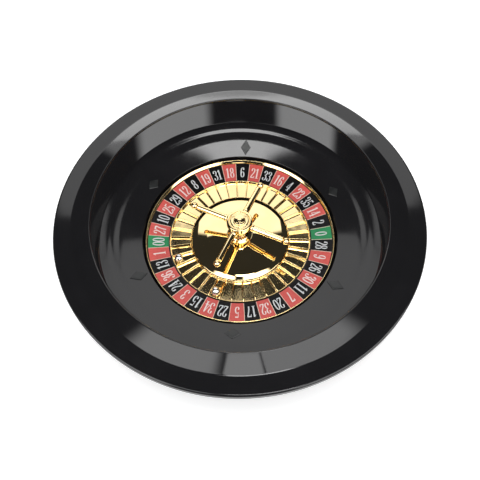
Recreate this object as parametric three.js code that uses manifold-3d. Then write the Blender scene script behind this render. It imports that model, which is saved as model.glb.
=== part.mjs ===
// A 16-inch table-top roulette wheel with a 38-pocket rotor, in millimetres, +Z up.
// The origin is the middle of the base, on the surface that the feet stand on.
import * as THREE from "three";
import { mergeVertices } from "three/addons/utils/BufferGeometryUtils.js";
import Module from "manifold-3d";

const wasm = await Module();
wasm.setup();

const GAP = 0.3; // between faces that touch on the real wheel
const TURN = Math.PI * 2;

// Sides of the turned pieces
const LARGE = 48;
const MIDDLE = 40;
const SMALL = 16;
const TINY = 8;

// Bowl
const BOWL_R = 203.2;
const WALL = 2.6; // moulded wall thickness
const WELL_R = 112.4; // the hole in the apron that the rotor turns in
const WELL_FLOOR_Z = 8.8;
const APRON_Z = 30.1; // inner edge of the apron
const APRON_SLOPE = THREE.MathUtils.degToRad(14);
const TRACK = [
  // rings of the ball track, each a radius and the slope in degrees that leads up to it
  [136.7, 14],
  [144.6, 10],
  [152, 17.5],
  [158.8, 13],
];
const TRACK_WALL = { r: 160, z: 43 }; // foot of the steep wall
const WALL_SLOPE = THREE.MathUtils.degToRad(88.5);
const CREST_Z = 80;
const CREST_ROUND = 1.6;
const BAND_SLOPE = THREE.MathUtils.degToRad(-18.5);
const CREASE_R = 183.6;
const BRIM_Z = 73.2;
const LIP_ROUND = 2.2;
const SKIRT_Z = 65.9;
const BASE_R = 137.8;
const BASE_SKIRT = 3; // thickness of the base skirt, measured level
const BASE_Z = 3.4; // underside of the base skirt and the base plate
const PLATE_THICK = 2.5;
const SCREW_PITCH_R = 125;
const FOOT_PITCH_R = 104;
const DEFLECTORS = 6;
const DEFLECTOR_R = 125;
const DEFLECTOR_START = 4.8; // degrees clockwise from +Y
const DEFLECTOR_HIGH = 1;

// Rotor
const POCKETS = 38;
const POCKET_START = 3.26; // degrees clockwise from +Y to the middle of the first pocket
const POCKET_IN_R = 57.1;
const POCKET_OUT_R = 82.2;
const POCKET_WALL = 0.8;
const POCKET_UNDER_Z = 16.4;
const POCKET_FLOOR_Z = 17.4;
const FRET_TOP_Z = 21.2;
const FRET_THICK = 0.9;
const NUMBER_IN = { r: 83.6, z: 19.6 };
const NUMBER_OUT = { r: 107.2, z: 22.4 };
const NUMBER_THICK = 1.1;
const DISC_R = 108;
const TRIM_R = 109.5;
const TRIM_TOP_Z = 27.5;
const CONE_R = 56.8;
const CONE_EDGE_Z = 22.2;
const CONE_SKIRT_Z = 16.5; // lower edge of the skirt inside the pockets
const CONE_TOP_R = 15;
const CONE_TOP_Z = 30.2;
const CONE_SCREW_R = 35;

// Turret
const ROD_R = 2.5;
const ROD_HOLE_R = 2.9;
const HUB_Z = 48;
const HUB_TOP_Z = 58.5;
const CAP_TOP_Z = 62;
const ARM_Z = 52.7;
const ARM_REACH = 56.9; // centre of the ball end
const ARM_BALL_R = 3.9;
const ARM_START = 26.5; // degrees clockwise from +Y
const ARMS = 4;

// Spindle and its 8 x 22 x 7 ball bearing
const BEARING_Z = 18.6;
const BEARING_WIDE = 7;
const BEARING_PITCH_R = 7.5;
const BEARING_BALL_R = 1.75;
const BEARING_BALLS = 7;

// Loose balls
const BALL_R = 5.2;
const BALLS = [
  { pocket: 26, r: 75.3 },
  { pocket: 21, r: 75.3 },
];

const material = (color, roughness, metalness) =>
  new THREE.MeshStandardMaterial({ color, roughness, metalness });
const BLACK_GLOSS = material(0x17171a, 0.12, 0);
const BLACK_MATT = material(0x1c1c1e, 0.55, 0);
const RUBBER = material(0x242424, 0.9, 0);
const GOLD = material(0xd9b45a, 0.08, 1);
const STEEL = material(0xc8c8cc, 0.2, 1);
const PRINT = material(0xb8433f, 0.3, 0);

const wheel = new THREE.Group();

function add(name, geometry, finish) {
  const mesh = new THREE.Mesh(geometry, finish);
  mesh.name = name;
  wheel.add(mesh);
  return mesh;
}

// Turns a closed outline of [r, z] points about the Z axis.
function turned(outline, segments) {
  const area = outline.reduce((sum, [r, z], i) => {
    const [nextR, nextZ] = outline[(i + 1) % outline.length];
    return sum + r * nextZ - nextR * z;
  }, 0);
  const points = area > 0 ? outline : [...outline].reverse();
  const closed = [...points, points[0]].map(([r, z]) => new THREE.Vector2(r, z));
  return new THREE.LatheGeometry(closed, segments).rotateX(Math.PI / 2);
}

// Points on an outline's arc while its slope turns from one angle to another. The first is left out.
function arc([r, z], radius, from, to, steps) {
  const side = Math.sign(to - from);
  return Array.from({ length: steps }, (_, i) => {
    const angle = from + ((to - from) * (i + 1)) / steps;
    return [
      r + side * radius * (Math.sin(angle) - Math.sin(from)),
      z + side * radius * (Math.cos(from) - Math.cos(angle)),
    ];
  });
}

function rod(radius, z0, z1, segments = 12) {
  const geometry = new THREE.CylinderGeometry(radius, radius, z1 - z0, segments);
  return geometry.rotateX(Math.PI / 2).translate(0, 0, (z0 + z1) / 2);
}

// Moves geometry out from the axis and round to an angle in degrees clockwise from +Y.
function placed(geometry, radius, degrees) {
  return geometry.translate(0, radius, 0).rotateZ(-THREE.MathUtils.degToRad(degrees));
}

function solid(geometry) {
  const bare = geometry.clone();
  bare.deleteAttribute("normal");
  bare.deleteAttribute("uv");
  const merged = mergeVertices(bare, 1e-4);
  return new wasm.Manifold(
    new wasm.Mesh({
      numProp: 3,
      vertProperties: new Float32Array(merged.attributes.position.array),
      triVerts: new Uint32Array(merged.index.array),
    }),
  );
}

function geometryOf(body) {
  const mesh = body.getMesh();
  const geometry = new THREE.BufferGeometry();
  geometry.setAttribute("position", new THREE.BufferAttribute(mesh.vertProperties, 3));
  geometry.setIndex(new THREE.BufferAttribute(mesh.triVerts, 1));
  return geometry;
}

function joined(geometry, pieces) {
  return geometryOf(pieces.reduce((body, piece) => body.add(solid(piece)), solid(geometry)));
}

function cut(geometry, pieces) {
  return geometryOf(pieces.reduce((body, piece) => body.subtract(solid(piece)), solid(geometry)));
}

function around(count, startDegrees, make) {
  return Array.from({ length: count }, (_, i) => make(startDegrees + (360 * i) / count, i));
}

// ---------------------------------------------------------------- bowl

// The ball track's rings, out from the apron's inner edge, with an offset down from its surface.
function trackPoints(down) {
  let r = WELL_R;
  let z = APRON_Z - down;
  return TRACK.map(([ringR, slope]) => {
    z += (ringR - r) * Math.tan(THREE.MathUtils.degToRad(slope));
    r = ringR;
    return [r, z];
  });
}

function bowlOutline() {
  const foot = [TRACK_WALL.r, TRACK_WALL.z];
  const crestStartZ = CREST_Z - CREST_ROUND * (1 - Math.cos(WALL_SLOPE));
  const crestStart = [foot[0] + (crestStartZ - foot[1]) / Math.tan(WALL_SLOPE), crestStartZ];
  const crest = arc(crestStart, CREST_ROUND, WALL_SLOPE, BAND_SLOPE, 3);
  const lipStart = [BOWL_R - LIP_ROUND, BRIM_Z];
  const lip = arc(lipStart, LIP_ROUND, 0, -Math.PI / 2, 2);
  const plateTop = BASE_Z + PLATE_THICK + GAP;
  const underTrack = trackPoints(2.4).reverse();
  return [
    [4.3, 16],
    [13, 16],
    [13.6, WELL_FLOOR_Z],
    [WELL_R - 0.4, WELL_FLOOR_Z],
    [WELL_R, APRON_Z - 0.7],
    [WELL_R + 0.7, APRON_Z + 0.1],
    ...trackPoints(0),
    foot,
    crestStart,
    ...crest,
    [CREASE_R, BRIM_Z],
    lipStart,
    ...lip,
    [BOWL_R, SKIRT_Z],
    [BOWL_R - 2.3, SKIRT_Z],
    [BOWL_R - 2.3, BRIM_Z - WALL],
    [CREASE_R + 0.6, BRIM_Z - WALL],
    [crestStart[0] + WALL, CREST_Z - WALL - 0.6],
    [foot[0] + WALL + 0.5, foot[1] + 0.5],
    [BASE_R, BASE_Z],
    [BASE_R - BASE_SKIRT, BASE_Z],
    [underTrack[0][0] - 1.8, underTrack[0][1] - 0.4],
    ...underTrack.slice(1),
    [WELL_R + 2.5, APRON_Z - 2.4],
    [WELL_R + 2.5, plateTop],
    [9.5, plateTop],
    [9.5, 11],
    [4.3, 11],
  ];
}

// A raised rhombus with a flat top, which lies on the apron's slope.
function deflector(degrees, i) {
  const [long, short] = i % 2 === 0 ? [11, 6.6] : [7, 9.3];
  const depth = 1.2;
  const geometry = new THREE.CylinderGeometry(0.84, 1, DEFLECTOR_HIGH + depth, 4);
  geometry.rotateX(Math.PI / 2).scale(short, long, 1);
  geometry.translate(0, 0, (DEFLECTOR_HIGH - depth) / 2).rotateX(APRON_SLOPE);
  geometry.translate(0, 0, APRON_Z + (DEFLECTOR_R - WELL_R) * Math.tan(APRON_SLOPE));
  return placed(geometry, DEFLECTOR_R, degrees);
}

const screwAngles = around(4, 0, (degrees) => degrees);
const plateTopZ = BASE_Z + PLATE_THICK;
const screwBosses = screwAngles.map((a) => placed(rod(4.2, plateTopZ + GAP, 31.4), SCREW_PITCH_R, a));
const bossHoles = screwAngles.map((a) => placed(rod(1.9, plateTopZ, 20), SCREW_PITCH_R, a));
const deflectors = around(DEFLECTORS, DEFLECTOR_START, deflector);
const shell = joined(turned(bowlOutline(), LARGE), [...deflectors, ...screwBosses]);
add("bowl_shell", cut(shell, bossHoles), BLACK_GLOSS);

const plateDisc = rod(BASE_R - BASE_SKIRT - 0.4, BASE_Z, plateTopZ, LARGE);
const plateHoles = screwAngles.map((a) => placed(rod(1.9, 0, 10), SCREW_PITCH_R, a));
add("base_plate", cut(plateDisc, plateHoles), BLACK_MATT);

const baseScrew = [
  [0, BASE_Z - 2.2],
  [2.6, BASE_Z - 2.2],
  [3.4, BASE_Z - 1.4],
  [3.4, BASE_Z - GAP],
  [1.5, BASE_Z - GAP],
  [1.5, 15],
  [0, 16.5],
];
screwAngles.forEach((a, i) => {
  add(`base_screw_${i + 1}`, placed(turned(baseScrew, TINY), SCREW_PITCH_R, a), STEEL);
});

const foot = [
  [0, 0],
  [8, 0],
  [9, 1],
  [9, BASE_Z - GAP],
  [0, BASE_Z - GAP],
];
around(4, 45, (a, i) => {
  add(`foot_${i + 1}`, placed(turned(foot, SMALL), FOOT_PITCH_R, a), RUBBER);
});

// ---------------------------------------------------------------- spindle and bearing

const bearingTop = BEARING_Z + BEARING_WIDE;
const spindle = [
  [0, plateTopZ + GAP],
  [3.4, plateTopZ + GAP],
  [4, plateTopZ + 0.9],
  [4, BEARING_Z - 2.3],
  [6.2, BEARING_Z - 2.3],
  [6.2, BEARING_Z - GAP],
  [3.95, BEARING_Z - GAP],
  [3.95, bearingTop + GAP],
  [3.3, bearingTop + GAP],
  [3.3, bearingTop + 1.5],
  [3.95, bearingTop + 1.5],
  [3.95, bearingTop + 2.3],
  [3.5, bearingTop + 2.7],
  [0, bearingTop + 2.7],
];
add("spindle", turned(spindle, SMALL), STEEL);

const washer = [
  [4.4, 9.9],
  [8.5, 9.9],
  [8.5, 10.7],
  [4.4, 10.7],
];
add("spindle_washer", turned(washer, SMALL), STEEL);
add("spindle_nut", cut(rod(7.5, 6.5, 9.6, 6), [rod(4.35, 6, 10, 20)]), STEEL);

// The spring clip is open on one side, so that it can be pushed into the spindle's groove.
function clip() {
  const outline = new THREE.Shape();
  const open = 0.5;
  outline.absarc(0, 0, 6, open, TURN - open, false);
  outline.absarc(0, 0, 3.65, TURN - open, open, true);
  outline.closePath();
  const options = { depth: 0.7, bevelEnabled: false, curveSegments: TINY };
  return new THREE.ExtrudeGeometry(outline, options).translate(0, 0, bearingTop + 0.55);
}
add("spindle_clip", clip(), STEEL);

const grooveHalf = 2;
const bearingMid = BEARING_Z + BEARING_WIDE / 2;
function race(boreR, landR, grooveR) {
  return [
    [boreR, BEARING_Z],
    [landR, BEARING_Z],
    [landR, bearingMid - grooveHalf],
    [grooveR, bearingMid - 1.2],
    [grooveR, bearingMid + 1.2],
    [landR, bearingMid + grooveHalf],
    [landR, bearingTop],
    [boreR, bearingTop],
  ];
}
add("bearing_inner_race", turned(race(4.25, 5.8, 5.35), 20), STEEL);
add("bearing_outer_race", turned(race(11, 9.3, 9.75), 20), STEEL);

// The cage is a lower and an upper ring, joined by a post between each pair of balls.
const cageBands = [-2.9, 2.1].map((low) => {
  const band = [
    [6.7, bearingMid + low],
    [8.3, bearingMid + low],
    [8.3, bearingMid + low + 0.8],
    [6.7, bearingMid + low + 0.8],
  ];
  return turned(band, 28);
});
const cageHoles = around(BEARING_BALLS, 0, (degrees) => {
  const hole = rod(BEARING_BALL_R + 0.35, -3, 3, 10).rotateX(Math.PI / 2);
  return placed(hole.translate(0, 0, bearingMid), BEARING_PITCH_R, degrees);
});
const cagePosts = around(BEARING_BALLS, 180 / BEARING_BALLS, (degrees) => {
  return placed(rod(0.6, bearingMid - 2.5, bearingMid + 2.5, 8), BEARING_PITCH_R, degrees);
});
add("bearing_cage", cut(joined(cageBands[0], [cageBands[1], ...cagePosts]), cageHoles), STEEL);

around(BEARING_BALLS, 0, (degrees, i) => {
  const ball = new THREE.IcosahedronGeometry(BEARING_BALL_R, 1).translate(0, 0, bearingMid);
  add(`bearing_ball_${i + 1}`, placed(ball, BEARING_PITCH_R, degrees), STEEL);
});

// ---------------------------------------------------------------- rotor

const numberUnder = NUMBER_THICK + GAP + 0.1;
const rotorDisc = [
  [11.3, BEARING_Z - 0.4],
  [11.3, bearingTop + GAP],
  [9.6, bearingTop + GAP],
  [9.6, 28],
  [15.4, 28],
  [15.4, 20.4],
  [45.4, 20.4],
  [52, POCKET_UNDER_Z - GAP],
  [POCKET_OUT_R + 0.4, POCKET_UNDER_Z - GAP],
  [POCKET_OUT_R + 0.4, NUMBER_IN.z - numberUnder],
  [DISC_R, NUMBER_OUT.z - numberUnder],
  [DISC_R, 11.3],
  [DISC_R - 2.4, 11.3],
  [DISC_R - 2.4, 18.6],
  [84.8, 16],
  [82, 14.2],
  [51, 14.2],
  [44.6, 18.2],
];
const coneScrewAngles = around(4, 45, (degrees) => degrees);
const discHoles = coneScrewAngles.map((a) => placed(rod(1.8, 17, 21.5), CONE_SCREW_R, a));
add("rotor_disc", cut(turned(rotorDisc, MIDDLE), discHoles), BLACK_MATT);

// Gold ring: floor, outer wall, and one fret between each pair of pockets.
function pocketRing() {
  const wallTop = FRET_TOP_Z - 0.7;
  const tray = [
    [POCKET_IN_R, POCKET_UNDER_Z],
    [POCKET_OUT_R, POCKET_UNDER_Z],
    [POCKET_OUT_R, wallTop],
    [POCKET_OUT_R - POCKET_WALL, wallTop],
    [POCKET_OUT_R - POCKET_WALL, POCKET_FLOOR_Z],
    [POCKET_IN_R, POCKET_FLOOR_Z],
  ];
  const length = POCKET_OUT_R - POCKET_IN_R - 0.6;
  const low = POCKET_FLOOR_Z - 0.5;
  const frets = around(POCKETS, POCKET_START + 180 / POCKETS, (degrees) => {
    const fret = new THREE.BoxGeometry(FRET_THICK, length, FRET_TOP_Z - low);
    fret.translate(0, 0, (FRET_TOP_Z + low) / 2);
    return placed(fret, (POCKET_OUT_R + POCKET_IN_R) / 2, degrees);
  });
  return joined(turned(tray, POCKETS * 2), frets);
}
add("pocket_ring", pocketRing(), GOLD);

const numberRing = [
  [NUMBER_IN.r, NUMBER_IN.z],
  [NUMBER_OUT.r, NUMBER_OUT.z],
  [NUMBER_OUT.r, NUMBER_OUT.z - NUMBER_THICK],
  [NUMBER_IN.r, NUMBER_IN.z - NUMBER_THICK],
];
add("number_ring", turned(numberRing, LARGE), PRINT);

const trimRing = [
  [DISC_R + GAP, 16],
  [TRIM_R, 16],
  [TRIM_R, TRIM_TOP_Z - 0.6],
  [TRIM_R - 0.4, TRIM_TOP_Z],
  [DISC_R + 0.7, TRIM_TOP_Z],
  [DISC_R + GAP, TRIM_TOP_Z - 0.6],
];
add("trim_ring", turned(trimRing, LARGE), GOLD);

const coneOutline = [
  [ROD_HOLE_R, 28.9],
  [ROD_HOLE_R, CONE_TOP_Z + 0.2],
  [CONE_TOP_R, CONE_TOP_Z],
  [46, 25.1],
  [CONE_R, CONE_EDGE_Z],
  [CONE_R, CONE_SKIRT_Z],
  [CONE_R - 1.1, CONE_SKIRT_Z],
  [CONE_R - 1.1, CONE_EDGE_Z - 1.2],
  [45.6, 23.7],
  [17, 28.6],
  [15.8, 28.9],
];
const coneBosses = coneScrewAngles.map((a) => placed(rod(3.2, 20.7, 25.3), CONE_SCREW_R, a));
const coneBossHoles = coneScrewAngles.map((a) => placed(rod(1.75, 20, 24.4), CONE_SCREW_R, a));
add("rotor_cone", cut(joined(turned(coneOutline, MIDDLE), coneBosses), coneBossHoles), GOLD);

const coneScrew = [
  [0, 15.9],
  [2.2, 15.9],
  [2.9, 16.6],
  [2.9, 17.9],
  [1.4, 17.9],
  [1.4, 23.4],
  [0, 24],
];
coneScrewAngles.forEach((a, i) => {
  add(`cone_screw_${i + 1}`, placed(turned(coneScrew, TINY), CONE_SCREW_R, a), STEEL);
});

// ---------------------------------------------------------------- turret

add("tie_rod", rod(ROD_R, 29.2, HUB_TOP_Z + 2, 16), STEEL);

const baseBottom = CONE_TOP_Z + 0.5;
const turretBase = [
  [ROD_HOLE_R, baseBottom],
  [14, baseBottom],
  [14, baseBottom + 0.9],
  [11.2, baseBottom + 2.1],
  [9.4, baseBottom + 4.2],
  [8.8, baseBottom + 6.3],
  [ROD_HOLE_R, baseBottom + 6.3],
];
add("turret_base", turned(turretBase, 20), GOLD);

const columnBottom = baseBottom + 6.6;
const turretColumn = [
  [ROD_HOLE_R, columnBottom],
  [8.3, columnBottom],
  [8.3, columnBottom + 1],
  [6.8, columnBottom + 1.8],
  [6.3, columnBottom + 4.8],
  [6.8, columnBottom + 7.6],
  [9.2, columnBottom + 9.2],
  [9.2, HUB_Z - GAP],
  [ROD_HOLE_R, HUB_Z - GAP],
];
add("turret_column", turned(turretColumn, 20), GOLD);

const turretHub = [
  [ROD_HOLE_R, HUB_Z],
  [10, HUB_Z],
  [13.9, HUB_Z + 2.4],
  [14.6, HUB_Z + 4.6],
  [14.5, HUB_TOP_Z - 1.6],
  [13.2, HUB_TOP_Z - 0.2],
  [10.2, HUB_TOP_Z - 0.2],
  [9.7, HUB_TOP_Z - 1],
  [8.9, HUB_TOP_Z - 1],
  [8.4, HUB_TOP_Z],
  [ROD_HOLE_R, HUB_TOP_Z],
];
const armHoles = around(ARMS, ARM_START, (degrees) => {
  const hole = rod(1.9, -4, 4).rotateX(Math.PI / 2).translate(0, 0, ARM_Z);
  return placed(hole, 13.4, degrees);
});
add("turret_hub", cut(turned(turretHub, 24), armHoles), GOLD);

const capBottom = HUB_TOP_Z + GAP;
const turretCap = [
  [0, HUB_TOP_Z + 2.4],
  [ROD_HOLE_R, HUB_TOP_Z + 2.4],
  [ROD_HOLE_R, capBottom],
  [7.4, capBottom],
  [7.4, capBottom + 0.8],
  [6.1, capBottom + 0.8],
  [5.5, CAP_TOP_Z - 0.9],
  [4.2, CAP_TOP_Z - 0.3],
  [0, CAP_TOP_Z],
];
add("turret_cap", turned(turretCap, SMALL), GOLD);

// Each arm has a spigot in the hub and another in its ball end. Its outline runs out from the wheel's axis.
const armOutline = [
  [0, 9.9],
  [1.5, 9.9],
  [1.5, 15],
  [3.9, 15],
  [4, 16.6],
  [3.5, 17.6],
  [3.1, 51.6],
  [3.1, ARM_REACH - ARM_BALL_R - 0.4],
  [1.2, ARM_REACH - ARM_BALL_R - 0.4],
  [1.2, ARM_REACH - 0.8],
  [0, ARM_REACH - 0.8],
];

function armBallOutline() {
  const holeR = 1.5;
  const start = Math.asin(holeR / ARM_BALL_R);
  const round = Array.from({ length: 8 }, (_, i) => {
    const angle = start + ((Math.PI - start) * i) / 7;
    return [Math.max(0, ARM_BALL_R * Math.sin(angle)), ARM_REACH - ARM_BALL_R * Math.cos(angle)];
  });
  return [[0, ARM_REACH - 0.5], [holeR, ARM_REACH - 0.5], ...round];
}

around(ARMS, ARM_START, (degrees, i) => {
  const lying = (outline, segments) => {
    const geometry = turned(outline, segments).rotateX(-Math.PI / 2).translate(0, 0, ARM_Z);
    return placed(geometry, 0, degrees);
  };
  add(`turret_arm_${i + 1}`, lying(armOutline, TINY), GOLD);
  add(`arm_ball_${i + 1}`, lying(armBallOutline(), 10), GOLD);
});

// ---------------------------------------------------------------- loose balls

BALLS.forEach(({ pocket, r }, i) => {
  const ball = new THREE.IcosahedronGeometry(BALL_R, 2);
  ball.translate(0, 0, POCKET_FLOOR_Z + GAP + BALL_R);
  const degrees = POCKET_START + (360 * pocket) / POCKETS;
  add(`ball_${i + 1}`, placed(ball, r, degrees), STEEL);
});

export default wheel;
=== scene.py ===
import math

import bmesh
import bpy
from mathutils import Matrix, Vector
from mathutils.geometry import delaunay_2d_cdt


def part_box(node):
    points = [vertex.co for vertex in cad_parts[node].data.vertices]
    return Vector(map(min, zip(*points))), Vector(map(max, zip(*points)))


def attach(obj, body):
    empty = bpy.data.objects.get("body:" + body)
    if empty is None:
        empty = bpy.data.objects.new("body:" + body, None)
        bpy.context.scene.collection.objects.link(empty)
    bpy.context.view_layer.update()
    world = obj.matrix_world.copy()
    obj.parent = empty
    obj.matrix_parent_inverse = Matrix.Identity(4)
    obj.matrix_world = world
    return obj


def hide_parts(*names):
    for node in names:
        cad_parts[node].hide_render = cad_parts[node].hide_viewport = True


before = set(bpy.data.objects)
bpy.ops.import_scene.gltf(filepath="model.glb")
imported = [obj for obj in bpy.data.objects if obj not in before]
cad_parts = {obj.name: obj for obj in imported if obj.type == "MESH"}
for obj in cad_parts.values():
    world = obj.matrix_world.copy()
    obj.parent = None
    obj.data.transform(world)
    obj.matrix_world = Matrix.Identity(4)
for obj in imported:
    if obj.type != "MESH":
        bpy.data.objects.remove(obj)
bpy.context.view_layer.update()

# Outlines are in millimetres, as (distance from the wheel's axis, height above the table).
MM = 0.001
TURN = 2 * math.pi


def across(node):
    """The radius and the lowest and highest z of a turned CAD node, in millimetres."""
    low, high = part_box(node)
    return high.x / MM, low.z / MM, high.z / MM


# ---------------------------------------------------------------- sizes

BOWL_R, _, CREST_Z = across("bowl_shell")
WALL = 2.6
WELL_R = 112.4
WELL_FLOOR_Z = 8.8
APRON_Z = 30.1
APRON_SLOPE = math.radians(14)
# The ball track's slope in degrees at a few radii. It changes evenly between them.
TRACK_SLOPES = (
    (132.9, 14), (140.6, 9.5), (145.6, 12), (148.6, 17), (151.6, 12), (156, 11.5), (159.7, 11.5),
)
TRACK_END_R = 160
LEDGE_R = 160.9
LEDGE_Z = 76.7
LEDGE_WIDE = 0.8
CREST_R = LEDGE_R + LEDGE_WIDE + 0.2
BAND_SLOPE = math.radians(-18.5)
BRIM_Z = 73.2
SKIRT_Z = 65.9
BASE_R = 137.8
BASE_SKIRT = 3
PLATE_R, PLATE_Z, PLATE_TOP_Z = across("base_plate")
SCREW_PITCH_R = 125
FOOT_PITCH_R = 104
DEFLECTORS = 6
DEFLECTOR_R = 125
DEFLECTOR_START = 4.8
DEFLECTOR_HIGH = 1
# Half the length, towards the rotor, and half the width of the two kinds, which alternate.
DEFLECTOR_SIZES = ((11, 6.6), (7, 9.3))

POCKETS = 38
POCKET_START = 3.26
POCKET_STEP = 360 / POCKETS
POCKET_IN_R = 57.1
POCKET_OUT_R, POCKET_LOW_Z, FRET_TOP_Z = across("pocket_ring")
POCKET_FLOOR_Z = 17.4
RING_WALL_Z = 20.5
POCKET_WALL_IN = 0.5
POCKET_WALL_OUT = 0.8
POCKET_CORNER_R = 0.9
FRET_HALF = 0.45
NUMBER_IN = (83.6, 19.6)
NUMBER_OUT = (107.2, 22.4)
NUMBER_THICK = 1.1
NUMBER_HIGH = 13.8
DISC_R = 108
TRIM_R, TRIM_LOW_Z, TRIM_TOP_Z = across("trim_ring")
CONE_R = 56.8
CONE_EDGE_Z = 22.2
CONE_SKIRT_Z = 16.5
CONE_TOP_R = 15
CONE_TOP_Z = 30.2
ROD_HOLE_R = 2.9

HUB_LOW_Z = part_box("turret_hub")[0].z / MM
HUB_TOP_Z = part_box("turret_hub")[1].z / MM
CAP_TOP_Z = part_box("turret_cap")[1].z / MM
ARM_Z = 52.7
ARM_REACH = 56.9
ARM_BALL_R = 3.9
ARM_BALL_HOLE_R = 1.5
ARM_START = 26.5
ARMS = 4
BALL_R = 5.2


# ---------------------------------------------------------------- mesh helpers

def piece(name, verts, faces, body, materials, nodes, indices=None, sharp=38):
    """A mesh in millimetres becomes a piece that stands for CAD nodes and rides on their body."""
    mesh = bpy.data.meshes.new(name)
    mesh.from_pydata([Vector(v) * MM for v in verts], [], faces)
    for material in materials:
        mesh.materials.append(material)
    if indices:
        mesh.polygons.foreach_set("material_index", indices)
    shape = bmesh.new()
    shape.from_mesh(mesh)
    bmesh.ops.remove_doubles(shape, verts=shape.verts, dist=1e-6)
    bmesh.ops.recalc_face_normals(shape, faces=shape.faces)
    shape.to_mesh(mesh)
    shape.free()
    finish_shading(mesh, sharp)
    made = bpy.data.objects.new(name, mesh)
    bpy.context.scene.collection.objects.link(made)
    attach(made, body)
    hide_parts(*nodes)
    return made


def finish_shading(mesh, sharp):
    """Smooth shading, with sharp edges where the faces turn by more than so many degrees."""
    mesh.shade_smooth()
    mesh.set_sharp_from_angle(angle=math.radians(sharp))
    mesh.update()


def rounded(corners, steps=5):
    """A closed outline from corners (r, z) or (r, z, radius), each rounded off by its radius."""
    outline = []
    for i, corner in enumerate(corners):
        here = Vector(corner[:2])
        radius = corner[2] if len(corner) > 2 else 0
        before = Vector(corners[i - 1][:2]) - here
        after = Vector(corners[(i + 1) % len(corners)][:2]) - here
        bend = math.pi - before.angle(after)
        if radius == 0 or bend < 1e-3:
            outline.append(here)
            continue
        reach = min(radius * math.tan(bend / 2), 0.49 * before.length, 0.49 * after.length)
        radius = reach / math.tan(bend / 2)
        middle = (before.normalized() + after.normalized()).normalized()
        centre = here + middle * (radius / math.cos(bend / 2))
        spoke = here + before.normalized() * reach - centre
        side = 1 if before.cross(after) < 0 else -1
        # A point on each straight side of the arc keeps the flats' shading flat.
        support = reach + min(0.3 * radius, 0.25)
        if support < 0.5 * before.length:
            outline.append(here + before.normalized() * support)
        for k in range(steps + 1):
            outline.append(centre + Matrix.Rotation(side * bend * k / steps, 2) @ spoke)
        if support < 0.5 * after.length:
            outline.append(here + after.normalized() * support)
    return outline


def lathe(outline, segments):
    """Turns a closed outline about Z. A point on the axis becomes one vertex."""
    verts = []
    rows = []
    for r, z in outline:
        count = 1 if r < 1e-6 else segments
        rows.append([len(verts) + k for k in range(count)])
        for k in range(count):
            angle = TURN * k / segments
            verts.append((r * math.sin(angle), r * math.cos(angle), z))
    faces = []
    for i, row in enumerate(rows):
        following = rows[(i + 1) % len(rows)]
        if len(row) == 1 and len(following) == 1:
            continue
        for k in range(segments):
            after = (k + 1) % segments
            corners = [row[k % len(row)], row[after % len(row)]]
            corners += [following[after % len(following)], following[k % len(following)]]
            faces.append(list(dict.fromkeys(corners)))
    return verts, faces


def turned(node, corners, body, material, segments=96, sharp=38, steps=5):
    """A piece turned about Z from a rounded outline, in place of one CAD node."""
    verts, faces = lathe(rounded(corners, steps), segments)
    return piece(f"{node}.visual", verts, faces, body, [material], [node], sharp=sharp)


def turned_gold(node, corners, segments=96, sharp=38, steps=5):
    return turned(node, corners, "rotor", GOLD, segments, sharp, steps)


def moved(mesh_data, matrix):
    verts, faces = mesh_data
    return [matrix @ Vector(v) for v in verts], faces


def compass(degrees, radius=0.0, height=0.0):
    """The matrix that moves a mesh out along +Y and round to an angle clockwise from +Y."""
    turn = Matrix.Rotation(-math.radians(degrees), 4, "Z")
    return turn @ Matrix.Translation((0, radius, height))


def joined(*meshes):
    verts = []
    faces = []
    for more_verts, more_faces in meshes:
        start = len(verts)
        verts += [tuple(v) for v in more_verts]
        faces += [[start + k for k in face] for face in more_faces]
    return verts, faces


def tool(name, mesh_data):
    """A loose solid for a boolean modifier, made from a mesh in millimetres."""
    mesh = bpy.data.meshes.new(name)
    verts, faces = mesh_data
    mesh.from_pydata([Vector(v) * MM for v in verts], [], faces)
    shape = bmesh.new()
    shape.from_mesh(mesh)
    bmesh.ops.recalc_face_normals(shape, faces=shape.faces)
    shape.to_mesh(mesh)
    shape.free()
    made = bpy.data.objects.new(name, mesh)
    bpy.context.scene.collection.objects.link(made)
    return made


def combine(target, mesh_data, operation, sharp=30):
    """Joins a solid to a piece, or cuts it away, and keeps only the result."""
    other = tool(target.name + "_tool", mesh_data)
    modifier = target.modifiers.new("combine", "BOOLEAN")
    modifier.operation = operation
    modifier.solver = "EXACT"
    modifier.use_self = True
    modifier.object = other
    bpy.context.view_layer.update()
    graph = bpy.context.evaluated_depsgraph_get()
    result = bpy.data.meshes.new_from_object(target.evaluated_get(graph))
    target.modifiers.clear()
    target.data = result
    bpy.data.objects.remove(other)
    finish_shading(target.data, sharp)


# ---------------------------------------------------------------- materials

def nodes_of(name):
    material = bpy.data.materials.new(name)
    material.use_nodes = True
    tree = material.node_tree
    return material, tree, tree.nodes["Principled BSDF"]


def noise_of(tree, scale, detail=3.0, roughness=0.5):
    """Noise over the object's own coordinates, with a scale in waves per metre."""
    place = tree.nodes.new("ShaderNodeTexCoord")
    texture = tree.nodes.new("ShaderNodeTexNoise")
    texture.inputs["Scale"].default_value = scale
    texture.inputs["Detail"].default_value = detail
    texture.inputs["Roughness"].default_value = roughness
    tree.links.new(place.outputs["Object"], texture.inputs["Vector"])
    return texture.outputs["Fac"]


def ranged(tree, value, low, high):
    """Spreads the middle of a noise's range over low to high."""
    node = tree.nodes.new("ShaderNodeMapRange")
    node.inputs["From Min"].default_value = 0.3
    node.inputs["From Max"].default_value = 0.7
    node.inputs["To Min"].default_value = low
    node.inputs["To Max"].default_value = high
    tree.links.new(value, node.inputs["Value"])
    return node.outputs["Result"]


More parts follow.
